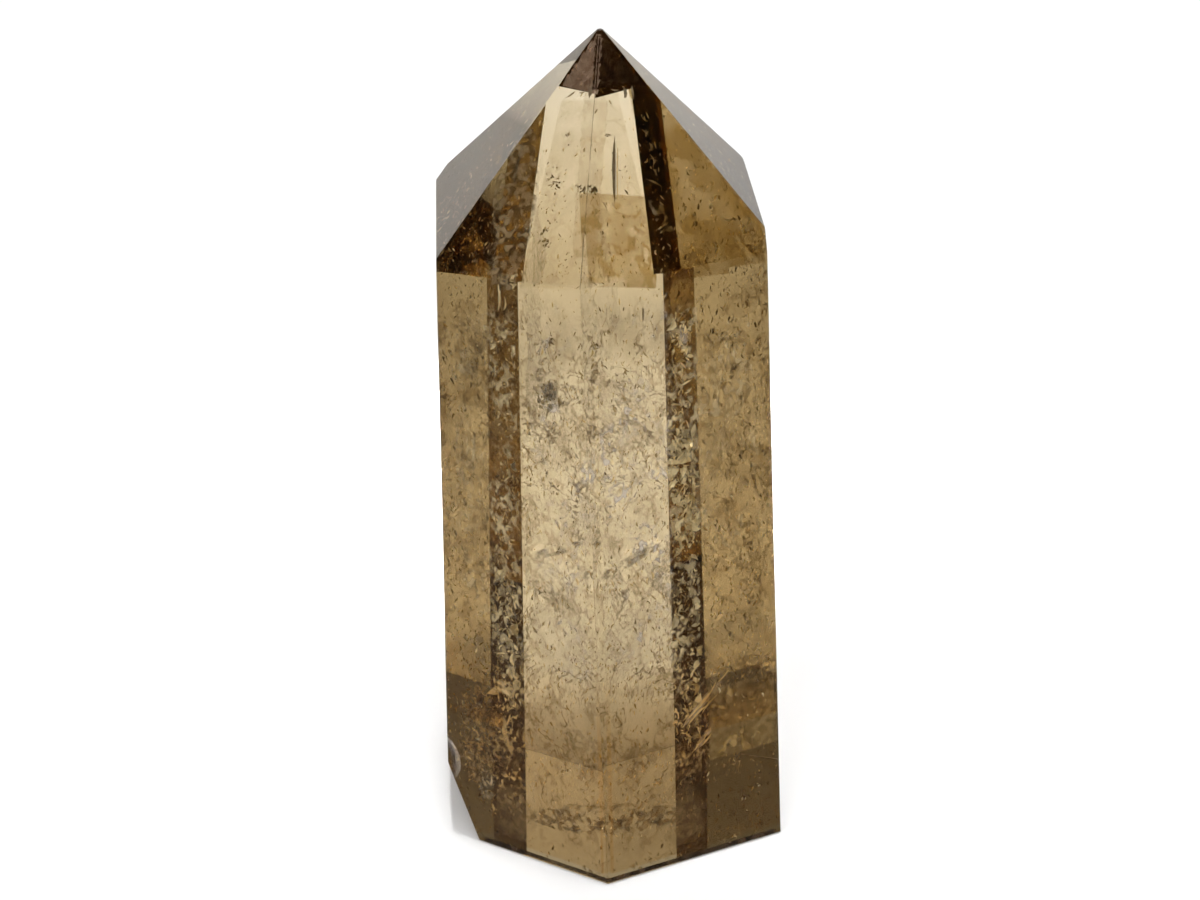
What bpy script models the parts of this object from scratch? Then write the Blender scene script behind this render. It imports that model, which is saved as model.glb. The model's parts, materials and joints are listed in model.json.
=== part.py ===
"""Smoky quartz point: a polished six-sided tower with a six-faced termination and a flat foot.

It is one natural crystal, so it is one solid. The stone is shaped as a lapidary shapes it: a block
is ground away facet by facet, and each facet removes everything beyond its own plane. The lower
left corner is broken off, along one flat break with a small dished flake above it.

Lengths are in metres and angles in degrees. Azimuth 0 faces the front (-Y) and turns towards the
right (+X). Lift is how far a facet's outward normal points above the horizontal.
"""

import math

import bmesh
import bpy
from mathutils import Matrix, Vector

MM = 0.001

# The whole stone
HEIGHT = 80.0 * MM
TIP = Vector((0.55 * MM, 0.65 * MM, HEIGHT))  # where the termination facets meet
TIP_WEAR = 0.3 * MM  # how much of the sharp tip is worn away
ROUGH_BLOCK = 120.0 * MM  # side of the block that the stone is ground from

# Softening of the polished edges, as the width of each edge's small flats together
ARRIS = 0.14 * MM
FOOT_ARRIS = 0.35 * MM
ARRIS_SEGMENTS = 2

# Prism facets: azimuth, lift, and distance from the stone's axis at the foot
PRISM = {
    "front_left": (-32.0, 0.0, 15.45 * MM),
    "front_right": (26.6, 1.6, 16.45 * MM),
    "right": (93.7, 1.7, 16.55 * MM),
    "back_right": (149.4, 0.8, 17.1 * MM),
    "back_left": (209.4, 0.6, 17.05 * MM),
    "left": (272.2, 0.8, 15.7 * MM),
}

# Termination facets: azimuth and lift
TERMINATION = {
    "front_left": (-37.4, 40.9),
    "front_right": (27.5, 39.8),
    "right": (94.9, 40.1),
    "back_right": (148.3, 42.9),
    "back_left": (211.7, 43.7),
    "left": (272.6, 39.6),
}

# Broken corner: the flat break's azimuth, lift and distance from the foot's centre
BREAK = (282.8, -17.2, 13.7 * MM)
# The dished flake above it, as the ball whose surface the fracture follows
FLAKE_CENTRE = Vector((-17.9 * MM, -10.2 * MM, 8.4 * MM))
FLAKE_RADIUS = 4.0 * MM
FLAKE_FACETING = 4

QUARTZ_COLOUR = (0.42, 0.30, 0.16, 1.0)
QUARTZ_IOR = 1.548
POLISH = 0.02


def direction(azimuth, lift):
    """Unit vector for an azimuth and a lift in degrees."""
    a, e = math.radians(azimuth), math.radians(lift)
    return Vector((math.sin(a) * math.cos(e), -math.cos(a) * math.cos(e), math.sin(e)))


def grind(bm, point, normal):
    """Remove everything beyond the plane, close the stone with a flat facet and return it."""
    cut = bmesh.ops.bisect_plane(
        bm,
        geom=bm.verts[:] + bm.edges[:] + bm.faces[:],
        dist=1e-9,
        plane_co=point,
        plane_no=normal,
        clear_outer=True,
    )
    rim = [e for e in cut["geom_cut"] if isinstance(e, bmesh.types.BMEdge)]
    return bmesh.ops.contextual_create(bm, geom=rim)["faces"][0]


def facet_planes():
    """Every polished facet, as a point on it and its outward normal, with the foot first."""
    planes = [(Vector((0, 0, 0)), Vector((0, 0, -1)))]
    for azimuth, lift, reach in PRISM.values():
        planes.append((direction(azimuth, 0) * reach, direction(azimuth, lift)))
    for azimuth, lift in TERMINATION.values():
        planes.append((TIP, direction(azimuth, lift)))
    planes.append((TIP - Vector((0, 0, TIP_WEAR)), Vector((0, 0, 1))))
    return planes


def quartz_material():
    """Clear brown quartz with a polished surface."""
    mat = bpy.data.materials.new("smoky_quartz")
    mat.use_nodes = True
    shader = mat.node_tree.nodes["Principled BSDF"]
    shader.inputs["Base Color"].default_value = QUARTZ_COLOUR
    shader.inputs["Roughness"].default_value = POLISH
    shader.inputs["IOR"].default_value = QUARTZ_IOR
    shader.inputs["Transmission Weight"].default_value = 1.0
    mat.diffuse_color = QUARTZ_COLOUR
    return mat


def cut_stone():
    """Mesh of the ground stone with its break, and a bevel weight on each polished edge."""
    bm = bmesh.new()
    block = Matrix.Translation((0, 0, ROUGH_BLOCK / 2 - 5 * MM))
    bmesh.ops.create_cube(bm, size=ROUGH_BLOCK, matrix=block)
    for point, normal in facet_planes():
        grind(bm, point, normal)
    azimuth, lift, reach = BREAK
    normal = direction(azimuth, lift)
    break_face = grind(bm, normal * reach, normal)
    bmesh.ops.recalc_face_normals(bm, faces=bm.faces[:])

    weight = bm.edges.layers.float.new("bevel_weight_edge")
    for edge in bm.edges:
        if break_face in edge.link_faces:
            edge[weight] = 0.0
        elif all(v.co.z < 1e-6 for v in edge.verts):
            edge[weight] = 1.0
        else:
            edge[weight] = ARRIS / FOOT_ARRIS

    mesh = bpy.data.meshes.new("cut_stone")
    bm.to_mesh(mesh)
    bm.free()
    return mesh


def flake_ball():
    """Object whose surface is the dished fracture of the flake."""
    bm = bmesh.new()
    bmesh.ops.create_icosphere(
        bm,
        subdivisions=FLAKE_FACETING,
        radius=FLAKE_RADIUS,
        matrix=Matrix.Translation(FLAKE_CENTRE),
    )
    mesh = bpy.data.meshes.new("flake_ball")
    bm.to_mesh(mesh)
    bm.free()
    ball = bpy.data.objects.new("flake_ball", mesh)
    bpy.context.scene.collection.objects.link(ball)
    return ball


def quartz_point():
    """The finished stone, standing over the origin by the middle of its plan."""
    stone = bpy.data.objects.new("quartz_point", cut_stone())
    bpy.context.scene.collection.objects.link(stone)

    arris = stone.modifiers.new("arris", "BEVEL")
    arris.limit_method = "WEIGHT"
    arris.offset_type = "WIDTH"
    arris.width = FOOT_ARRIS
    arris.segments = ARRIS_SEGMENTS
    arris.use_clamp_overlap = False

    ball = flake_ball()
    flake = stone.modifiers.new("flake", "BOOLEAN")
    flake.operation = "DIFFERENCE"
    flake.solver = "EXACT"
    flake.object = ball

    evaluated = stone.evaluated_get(bpy.context.evaluated_depsgraph_get())
    shaped = bpy.data.meshes.new_from_object(evaluated)
    stone.modifiers.clear()
    stone.data = shaped
    shaped.name = "quartz_point"
    bpy.data.objects.remove(ball, do_unlink=True)

    xs = [v.co.x for v in shaped.vertices]
    ys = [v.co.y for v in shaped.vertices]
    foot = min(v.co.z for v in shaped.vertices)
    middle = Vector(((min(xs) + max(xs)) / 2, (min(ys) + max(ys)) / 2, foot))
    shaped.transform(Matrix.Translation(-middle))
    print("moved onto the origin by", [round(c / MM, 4) for c in middle], "mm")

    shaped.materials.clear()
    shaped.materials.append(quartz_material())
    return stone


for obj in list(bpy.data.objects):
    bpy.data.objects.remove(obj, do_unlink=True)

quartz_point()
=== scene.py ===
"""Smoky quartz point: the polished stone, what lies inside it, and a pale studio to show it in.

Lengths are in metres and angles in degrees unless a name says otherwise. The stone's own axes are
used while it is cut: azimuth 0 faces the front (-Y) and turns towards the right (+X), and lift is
how far a facet's outward normal points above the horizontal. The cut stone is then moved so that
the middle of its plan stands over the origin, which is where the solid model has it.
"""

from __future__ import annotations

import json
import logging
import math
from dataclasses import dataclass, field
from enum import Enum
from typing import Any

import bmesh
import bpy
import numpy as np
from bmesh.types import BMEdge, BMesh, BMFace, BMVert
from bpy.types import Material, Mesh, Node, NodeSocket, NodeTree, Object
from mathutils import Matrix, Vector, noise

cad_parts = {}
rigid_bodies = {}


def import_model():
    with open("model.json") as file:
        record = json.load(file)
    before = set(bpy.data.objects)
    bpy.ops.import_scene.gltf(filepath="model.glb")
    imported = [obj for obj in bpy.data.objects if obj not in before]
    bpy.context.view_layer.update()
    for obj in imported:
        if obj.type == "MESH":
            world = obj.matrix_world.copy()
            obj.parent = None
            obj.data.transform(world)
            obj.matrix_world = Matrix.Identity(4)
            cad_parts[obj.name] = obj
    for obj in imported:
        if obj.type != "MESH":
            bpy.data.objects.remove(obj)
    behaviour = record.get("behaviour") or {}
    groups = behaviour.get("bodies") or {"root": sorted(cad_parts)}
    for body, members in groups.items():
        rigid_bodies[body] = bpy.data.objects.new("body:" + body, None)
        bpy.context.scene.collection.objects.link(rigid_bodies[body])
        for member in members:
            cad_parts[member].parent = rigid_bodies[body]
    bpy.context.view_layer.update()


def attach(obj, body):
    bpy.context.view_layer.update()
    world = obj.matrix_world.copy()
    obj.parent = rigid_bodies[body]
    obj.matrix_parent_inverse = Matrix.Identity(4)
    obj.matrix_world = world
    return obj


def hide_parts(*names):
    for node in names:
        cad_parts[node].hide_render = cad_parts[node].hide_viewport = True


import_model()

LOG = logging.getLogger("quartz")

MM = 0.001
BODY = "root"
NODE = "quartz_point"

Pair = tuple[float, float]
Triple = tuple[float, float, float]
Colour = tuple[float, float, float, float]
Grain = tuple[float, float, int]  # a noise's roughness, the step between its octaves, and their number
Inputs = dict[str | int, Any]  # values, signals or output sockets by socket name or number

WHITE: Colour = (1.0, 1.0, 1.0, 1.0)
FULL_TURN = 6.28  # radians
SHARP_SHARE = 0.3  # share of a drawn line's width that has its full strength
ABOVE_TIP: Pair = (90.0 * MM, 95.0 * MM)  # for a cover that is the same all the way up

# Azimuth and lift of the faces that the sheets inside the stone lie along
LEFT_FACE: Pair = (-32.0, 0.0)
RIGHT_FACE: Pair = (26.6, 1.6)
NEAR_RIGHT_FACE: Pair = (26.6, 1.0)
LEFT_CROWN: Pair = (-37.4, 40.9)
RIGHT_CROWN: Pair = (27.5, 39.8)


# ---- Writing node trees ----


class Signal:
    """A number passing between nodes, combined with ordinary arithmetic."""

    def __init__(self, graph: Graph, socket: NodeSocket) -> None:
        """Wrap an output socket of a graph's node."""
        self.graph = graph
        self.socket = socket

    def __add__(self, other: Signal | float) -> Signal:
        """Sum."""
        return self.graph.maths("ADD", self, other)

    def __radd__(self, other: float) -> Signal:
        """Sum with a plain number first."""
        return self.graph.maths("ADD", other, self)

    def __sub__(self, other: Signal | float) -> Signal:
        """Difference."""
        return self.graph.maths("SUBTRACT", self, other)

    def __rsub__(self, other: float) -> Signal:
        """Difference from a plain number."""
        return self.graph.maths("SUBTRACT", other, self)

    def __mul__(self, other: Signal | float) -> Signal:
        """Product."""
        return self.graph.maths("MULTIPLY", self, other)

    def __rmul__(self, other: float) -> Signal:
        """Product with a plain number first."""
        return self.graph.maths("MULTIPLY", other, self)

    def rise(self, low: float, high: float) -> Signal:
        """Smooth step from 0 at low to 1 at high."""
        step = {"interpolation_type": "SMOOTHSTEP", "clamp": True}
        return self.graph.signal("ShaderNodeMapRange", step, {0: self, 1: low, 2: high})


class Graph:
    """Adds nodes to one tree, with settings before sockets."""

    def __init__(self, tree: NodeTree) -> None:
        """Keep the tree to build in."""
        self.tree = tree

    def fill(self, node: Node, inputs: Inputs) -> None:
        """Link a node's inputs, or set them to plain values.

        Args:
            node: The node.
            inputs: Values, signals or output sockets by socket name or number.
        """
        for key, value in inputs.items():
            if isinstance(value, Signal):
                value = value.socket
            if isinstance(value, NodeSocket):
                self.tree.links.new(value, node.inputs[key])
            else:
                node.inputs[key].default_value = value

    def node(
        self,
        kind: str,
        settings: dict[str, Any] | None = None,
        inputs: Inputs | None = None,
    ) -> Node:
        """Add one node.

        Args:
            kind: The node's type name.
            settings: Attributes to set first, such as an operation.
            inputs: Values or links by socket name or number.

        Returns:
            The new node.
        """
        made = self.tree.nodes.new(kind)
        for name, value in (settings or {}).items():
            setattr(made, name, value)
        self.fill(made, inputs or {})
        return made

    def signal(self, kind: str, settings: dict[str, Any] | None, inputs: Inputs) -> Signal:
        """Add one node and take its first output as a number."""
        return Signal(self, self.node(kind, settings, inputs).outputs[0])

    def maths(self, operation: str, *values: Signal | float) -> Signal:
        """Math node on one or more numbers."""
        return self.signal("ShaderNodeMath", {"operation": operation}, dict(enumerate(values)))

    def blend(
        self, factor: Signal | float, first: Any, second: Any, way: str = "MIX"
    ) -> NodeSocket:
        """Colour mixed from two by a factor."""
        settings = {"data_type": "RGBA", "blend_type": way}
        return self.node("ShaderNodeMix", settings, {0: factor, 6: first, 7: second}).outputs[2]

    def place(self) -> NodeSocket:
        """Object coordinates."""
        return self.node("ShaderNodeTexCoord").outputs["Object"]

    def stretched(self, where: NodeSocket, steepness: float) -> NodeSocket:
        """Coordinates with the upright one scaled."""
        scale = (1.0, 1.0, steepness)
        return self.node("ShaderNodeMapping", None, {"Vector": where, "Scale": scale}).outputs[0]

    def height(self, where: NodeSocket) -> Signal:
        """Upright coordinate."""
        return Signal(self, self.node("ShaderNodeSeparateXYZ", None, {0: where}).outputs[2])

    def attribute(self, name: str) -> Signal:
        """Number stored on the mesh under a name."""
        made = self.node("ShaderNodeAttribute", {"attribute_name": name})
        return Signal(self, made.outputs["Fac"])

    def clouds(self, where: NodeSocket, scale: float, detail: float) -> Signal:
        """Noise by place, about 0 to 1."""
        inputs = {"Vector": where, "Scale": scale, "Detail": detail}
        return self.signal("ShaderNodeTexNoise", None, inputs)

    def strokes(
        self, where: NodeSocket, scale: float, detail: float, width: float
    ) -> Signal:
        """Wriggling lines, 1 on a line and 0 off it, where noise crosses its middle level."""
        offset = self.maths("ABSOLUTE", self.clouds(where, scale, detail) - 0.5)
        return 1 - offset.rise(width * SHARP_SHARE, width)

    def sheet_cover(self, soft_rim: float) -> Signal:
        """A sheet's own strength, faded in over a share of the way from its rim."""
        return self.attribute("core").rise(0.0, soft_rim) * self.attribute("strength")

    def relief(self, height: Signal, depth: float, strength: float) -> NodeSocket:
        """Normal bent by a height."""
        inputs = {"Height": height, "Distance": depth, "Strength": strength}
        return self.node("ShaderNodeBump", None, inputs).outputs["Normal"]


class Finish:
    """What every finish shares: a material with only a Principled shader and its output."""

    name: str

    def inputs(self, graph: Graph) -> Inputs:
        """Wire up the pattern and give what the shader's inputs get, in each finish's own way."""
        raise NotImplementedError

    def material(self) -> Material:
        """Build the material.

        Returns:
            The material, with the finish's name.
        """
        made = bpy.data.materials.new(self.name)
        made.use_nodes = True
        tree = made.node_tree
        for old in list(tree.nodes):
            if old.type not in {"OUTPUT_MATERIAL", "BSDF_PRINCIPLED"}:
                tree.nodes.remove(old)
        graph = Graph(tree)
        graph.fill(tree.nodes["Principled BSDF"], self.inputs(graph))
        return made


# ---- Finishes ----


@dataclass(frozen=True)
class SmokyQuartz(Finish):
    """Clear brown quartz: polished facets, and a duller rippled break."""

    name: str = "smoky_quartz"
    ior: float = 1.548
    sheen_level: float = 0.03
    loss_per_metre: Triple = (19.0, 26.4, 43.5)  # red, green and blue
    deepest_tint: float = 0.8  # how much of its darkest channel the absorption colour lacks
    fracture_roughness: float = 0.22
    ripple_scale: float = 420.0
    ripple_depth: float = 0.5 * MM
    ripple_strength: float = 0.8

    def inputs(self, graph: Graph) -> Inputs:
        """Wire up the break's ripple, and the brown as absorption inside the stone.

        Args:
            graph: The material's graph.

        Returns:
            What the shader's inputs get.
        """
        density = max(self.loss_per_metre) / self.deepest_tint
        tint = [1.0 - loss / density for loss in self.loss_per_metre]
        smoke = {"Color": (*tint, 1.0), "Density": density}
        volume = graph.node("ShaderNodeVolumeAbsorption", None, smoke).outputs[0]
        graph.fill(graph.tree.nodes["Material Output"], {"Volume": volume})
        broken = graph.attribute("fracture")
        ripple = graph.clouds(graph.place(), self.ripple_scale, 2.0) * broken
        return {
            "Base Color": WHITE,
            "Transmission Weight": 1.0,
            "IOR": self.ior,
            "Specular Tint": (*(self.sheen_level,) * 3, 1.0),
            "Roughness": broken * self.fracture_roughness,
            "Normal": graph.relief(ripple, self.ripple_depth, self.ripple_strength),
        }


@dataclass(frozen=True)
class CrackFinish(Finish):
    """Walls of the tiny cracks inside the stone: matt crumbs and bright little mirrors."""

    name: str = "crack_walls"
    pale: Colour = (0.98, 0.84, 0.51, 1.0)
    dark: Colour = (0.12, 0.085, 0.05, 1.0)
    roughness: float = 0.22
    roughness_spread: float = 0.3
    grain_scale: float = 3000.0
    grain_contrast: float = 0.3

    def inputs(self, graph: Graph) -> Inputs:
        """Wire up each crack's own tone and shine.

        Args:
            graph: The material's graph.

        Returns:
            What the shader's inputs get.
        """
        grain = graph.clouds(graph.place(), self.grain_scale, 1.0)
        tone = graph.attribute("tone") + (grain - 0.5) * self.grain_contrast
        return {
            "Base Color": graph.blend(tone, self.dark, self.pale),
            "Metallic": graph.attribute("shine"),
            "Roughness": grain * self.roughness_spread + self.roughness,
        }


@dataclass(frozen=True)
class VeilFinish(Finish):
    """Healed fracture: wriggling trails of tiny crack walls on clear or misty stone; a few sheets with
    it are painted shade and painted light instead.
    """

    name: str
    trail_scale: float = 1000.0  # wriggles per metre
    trail_width: float = 0.065
    steepness: float = 0.62  # below 1, trails run more up and down than across
    patch_scale: float = 140.0
    patch_level: float = 0.46
    patch_edge: float = 0.07
    grit_ratio: float = 2.4  # grit's scale over the trails' scale
    fray_levels: Pair = (0.36, 0.54)
    tone_levels: Pair = (0.42, 0.62)
    mood_ratio: float = 0.5
    mood_levels: Pair = (0.50, 0.68)
    glint_levels: Pair = (0.44, 0.50)
    faintest: float = 0.16
    strongest: float = 0.58
    thin_heights: Pair = (52.0 * MM, 60.0 * MM)  # where the cover thins out
    thinning: float = 0.85
    mist: float = 0.04  # cover between the trails where it is thickest
    mist_scale: float = 330.0
    mist_levels: Pair = (0.46, 0.68)
    soft_rim: float = 0.35  # share of the way in over which a veil fades up
    glint: float = 0.6
    gloss_level: float = 0.5
    roughness: float = 0.1
    roughness_spread: float = 0.15
    relief_depth: float = 0.25 * MM
    pale: Colour = (0.92, 0.80, 0.62, 1.0)
    dark: Colour = (0.32, 0.21, 0.09, 1.0)

    def inputs(self, graph: Graph) -> Inputs:
        """Wire up the trails and the mist between them.

        Args:
            graph: The material's graph.

        Returns:
            What the shader's inputs get.
        """
        whole = graph.place()
        place = graph.stretched(whole, self.steepness)
        line = graph.strokes(place, self.trail_scale, 1.0, self.trail_width)
        crowd = graph.clouds(whole, self.patch_scale, 0.0)
        patch = crowd.rise(self.patch_level - self.patch_edge, self.patch_level + self.patch_edge)
        grit = graph.clouds(place, self.trail_scale * self.grit_ratio, 0.0)
        thin = 1 - graph.height(whole).rise(*self.thin_heights) * self.thinning
        mood = graph.clouds(place, self.trail_scale * self.mood_ratio, 0.0)
        strength = mood.rise(*self.mood_levels) * (self.strongest - self.faintest) + self.faintest
        trails = line * patch * grit.rise(*self.fray_levels) * strength
        mist = graph.clouds(place, self.mist_scale, 1.0).rise(*self.mist_levels) * self.mist
        tone = grit.rise(*self.tone_levels)
        return {
            "Alpha": graph.maths("MAXIMUM", trails, mist) * thin * graph.sheet_cover(self.soft_rim),
            "Base Color": graph.blend(tone, self.dark, self.pale),
            "Metallic": mood.rise(*self.glint_levels) * self.glint,
            "Roughness": tone * self.roughness_spread + self.roughness,
            "Normal": graph.relief(grit, self.relief_depth, 1.0),
            "Specular IOR Level": self.gloss_level,
        }


@dataclass(frozen=True)
class StainFinish(Finish):
    """Brown film in a healed crack: it colours the light that passes, and doesn't bend it."""

    name: str = "iron_stain"
    tint: Colour = (0.50, 0.42, 0.30, 1.0)
    foot_tint: Colour = (0.96, 0.84, 0.66, 1.0)
    cloud_scale: float = 380.0
    cloud_levels: Pair = (0.42, 0.72)
    cloud_share: float = 0.34
    line_scale: float = 760.0
    line_width: float = 0.075
    line_share: float = 0.62
    fray_ratio: float = 0.8
    fray_levels: Pair = (0.44, 0.60)
    steepness: float = 0.7
    foot_heights: Pair = (10.0 * MM, 25.0 * MM)  # where the foot's tint fades out
    soft_rim: float = 0.1

    def inputs(self, graph: Graph) -> Inputs:
        """Wire up clouds and frayed lines of stain.

        Args:
            graph: The material's graph.

        Returns:
            What the shader's inputs get.
        """
        whole = graph.place()
        place = graph.stretched(whole, self.steepness)
        cloud = graph.clouds(place, self.cloud_scale, 3.0).rise(*self.cloud_levels)
        line = graph.strokes(place, self.line_scale, 2.0, self.line_width)
        fray = graph.clouds(place, self.line_scale * self.fray_ratio, 1.0).rise(*self.fray_levels)
        cover = cloud * self.cloud_share + line * fray * self.line_share
        mottled = graph.blend(cover * graph.sheet_cover(self.soft_rim), WHITE, self.tint)
        foot = 1 - graph.height(whole).rise(*self.foot_heights)
        return {
            "Base Color": graph.blend(foot, mottled, self.foot_tint, "MULTIPLY"),
            "Transmission Weight": 1.0,
            "IOR": 1.0,
            "Roughness": 0.0,
        }


@dataclass(frozen=True)
class PaperFinish(Finish):
    """Matt white paper with a barely visible mottle."""

    name: str = "paper"
    colour: Colour = (0.86, 0.86, 0.86, 1.0)
    shade: Colour = (0.8471, 0.8471, 0.8471, 1.0)
    mottle_scale: float = 9.0
    mottle_levels: Pair = (0.3, 0.7)
    roughness: float = 0.9
    gloss_level: float = 0.2

    def inputs(self, graph: Graph) -> Inputs:
        """Wire up the mottle.

        Args:
            graph: The material's graph.

        Returns:
            What the shader's inputs get.
        """
        mottle = graph.clouds(graph.place(), self.mottle_scale, 4.0).rise(*self.mottle_levels)
        return {
            "Base Color": graph.blend(mottle, self.colour, self.shade),
            "Roughness": self.roughness,
            "Specular IOR Level": self.gloss_level,
        }


# ---- The stone ----


def direction(azimuth: float, lift: float) -> Vector:
    """Unit vector for an azimuth and a lift in degrees."""
    a, e = math.radians(azimuth), math.radians(lift)
    return Vector((math.sin(a) * math.cos(e), -math.cos(a) * math.cos(e), math.sin(e)))


@dataclass(frozen=True)
class Facet:
    """One flat polished facet."""

    azimuth: float
    lift: float
    reach: float = 0.0  # distance from the stone's axis at the foot

    @property
    def normal(self) -> Vector:
        """Outward unit normal."""
        return direction(self.azimuth, self.lift)


def link(name: str, mesh: Mesh) -> Object:
    """Put a mesh into the scene.

    Args:
        name: The new object's name.
        mesh: Its mesh.

    Returns:
        The object, at the origin.
    """
    made = bpy.data.objects.new(name, mesh)
    bpy.context.scene.collection.objects.link(made)
    return made


def mesh_of(bm: BMesh, name: str) -> Mesh:
    """Turn a working mesh into a named one and free it.

    Args:
        bm: The working mesh.
        name: The new mesh's name.

    Returns:
        The new mesh.
    """
    made = bpy.data.meshes.new(name)
    bm.to_mesh(made)
    bm.free()
    return made


def settle(piece: Object) -> Mesh:
    """Apply a piece's modifiers, so that only a plain mesh is left on it.

    Args:
        piece: The object.

    Returns:
        Its new mesh, named as the piece is.
    """
    graph = bpy.context.evaluated_depsgraph_get()
    made = bpy.data.meshes.new_from_object(piece.evaluated_get(graph))
    made.name = piece.name
    piece.modifiers.clear()
    piece.data = made
    return made


@dataclass
class CutStone:
    """The polished tower itself."""

    tip: Vector = field(default_factory=lambda: Vector((0.55, 0.65, 80.0)) * MM)
    tip_wear: float = 0.3 * MM
    rough_block: float = 120.0 * MM
    block_below: float = 5.0 * MM  # how much of the block lies below the foot
    arris: float = 0.09 * MM
    foot_arris: float = 0.35 * MM
    back_arris: float = 0.06 * MM
    arris_segments: int = 3
    front_limit: float = 4.0 * MM  # the foot's edges in front of this are the more worn ones
    prism: tuple[Facet, ...] = (
        Facet(-32.0, 0.0, 15.45 * MM),
        Facet(26.6, 1.6, 16.45 * MM),
        Facet(93.7, 1.7, 16.55 * MM),
        Facet(149.4, 0.8, 17.1 * MM),
        Facet(209.4, 0.6, 17.05 * MM),
        Facet(272.2, 0.8, 15.7 * MM),
    )
    termination: tuple[Facet, ...] = (
        Facet(-37.4, 40.9),
        Facet(27.5, 39.8),
        Facet(94.9, 40.1),
        Facet(148.3, 42.9),
        Facet(211.7, 43.7),
        Facet(272.6, 39.6),
    )
    fracture: Facet = Facet(282.8, -17.2, 13.7 * MM)
    flake_centre: Vector = field(default_factory=lambda: Vector((-17.9, -10.2, 8.4)) * MM)
    flake_radius: float = 4.0 * MM
    flake_levels: int = 5
    break_slack: float = 0.02 * MM  # how far off the break its faces' middles may lie
    flake_slack: float = 0.1 * MM
    middle: Vector = field(default_factory=Vector)  # of the stone's plan, in its own axes

    def planes(self) -> list[tuple[Vector, Vector]]:
        """List every polished facet.

        Returns:
            A point on each facet and its outward normal, with the foot first.
        """
        found = [(Vector(), Vector((0, 0, -1)))]
        found += [(direction(f.azimuth, 0) * f.reach, f.normal) for f in self.prism]
        found += [(self.tip, facet.normal) for facet in self.termination]
        found.append((self.tip - Vector((0, 0, self.tip_wear)), Vector((0, 0, 1))))
        return found

    def depth_inside(self, point: Vector) -> float:
        """Measure how deep a point lies.

        Args:
            point: A place in the stone's own axes.

        Returns:
            Distance to the nearest facet, below 0 outside the stone.
        """
        depths = [(there - point).dot(normal) for there, normal in self.planes()]
        return min(*depths, self.fracture.reach - point.dot(self.fracture.normal))

    def _grind(self, bm: BMesh, point: Vector, normal: Vector) -> BMFace:
        """Remove everything beyond a plane and close the stone there.

        Args:
            bm: The stone so far.
            point: A point on the plane.
            normal: The plane's outward normal.

        Returns:
            The new face.
        """
        cut = bmesh.ops.bisect_plane(
            bm,
            geom=bm.verts[:] + bm.edges[:] + bm.faces[:],
            dist=1e-9,
            plane_co=point,
            plane_no=normal,
            clear_outer=True,
        )
        rim = [e for e in cut["geom_cut"] if isinstance(e, BMEdge)]
        return bmesh.ops.contextual_create(bm, geom=rim)["faces"][0]

    def _ground(self) -> Mesh:
        """Grind the block down to the flat facets.

        Returns:
            The stone's mesh, with a bevel weight on each polished edge.
        """
        bm = bmesh.new()
        block = Matrix.Translation((0, 0, self.rough_block / 2 - self.block_below))
        bmesh.ops.create_cube(bm, size=self.rough_block, matrix=block)
        for point, normal in self.planes():
            self._grind(bm, point, normal)
        normal = self.fracture.normal
        broken = self._grind(bm, normal * self.fracture.reach, normal)
        bmesh.ops.recalc_face_normals(bm, faces=bm.faces[:])
        weight = bm.edges.layers.float.new("bevel_weight_edge")
        for edge in bm.edges:
            if broken in edge.link_faces:
                edge[weight] = 0.0
            elif all(v.co.z < 1e-6 for v in edge.verts):
                at_front = max(v.co.y for v in edge.verts) < self.front_limit
                edge[weight] = 1.0 if at_front else self.back_arris / self.foot_arris
            else:
                edge[weight] = self.arris / self.foot_arris
        return mesh_of(bm, "ground")

    def _ball(self) -> Object:
        """Make the ball whose surface the dished flake follows.

        Returns:
            The ball, to be cut from the stone.
        """
        bm = bmesh.new()
        there = Matrix.Translation(self.flake_centre)
        smooth = self.flake_levels
        bmesh.ops.create_icosphere(bm, subdivisions=smooth, radius=self.flake_radius, matrix=there)
        return link("ball", mesh_of(bm, "ball"))

    def build(self, finish: SmokyQuartz) -> Object:
        """Cut, soften and break the stone, and give it its material.

        Args:
            finish: The stone's finish.

        Returns:
            The finished stone.
        """
        stone = link("smoky_quartz_stone", self._ground())
        arris = stone.modifiers.new("arris", "BEVEL")
        arris.limit_method = "WEIGHT"
        arris.offset_type = "WIDTH"
        arris.width = self.foot_arris
        arris.segments = self.arris_segments
        arris.use_clamp_overlap = False
        ball = self._ball()
        flake = stone.modifiers.new("flake", "BOOLEAN")
        flake.operation = "DIFFERENCE"
        flake.solver = "EXACT"
        flake.object = ball
        mesh = settle(stone)
        bpy.data.objects.remove(ball, do_unlink=True)

        corners = np.array([v.co for v in mesh.vertices])
        low, high = corners.min(axis=0), corners.max(axis=0)
        self.middle = Vector(((low[0] + high[0]) / 2, (low[1] + high[1]) / 2, low[2]))
        self._mark_fracture(mesh)
        mesh.transform(Matrix.Translation(-self.middle))
        mesh.materials.clear()
        mesh.materials.append(finish.material())
        return stone

    def _mark_fracture(self, mesh: Mesh) -> None:
        """Store 1 on broken faces and 0 on polished ones.

        Args:
            mesh: The stone's mesh, in its own axes.
        """
        cut = self.fracture
        marks = []
        for face in mesh.polygons:
            off_break = abs(face.center.dot(cut.normal) - cut.reach)
            off_ball = abs((face.center - self.flake_centre).length - self.flake_radius)
            broken = off_break < self.break_slack or off_ball < self.flake_slack
            marks.append(1.0 if broken else 0.0)
        layer = mesh.attributes.new("fracture", "FLOAT", "FACE")
        layer.data.foreach_set("value", marks)


# ---- Cracks ----


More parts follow.
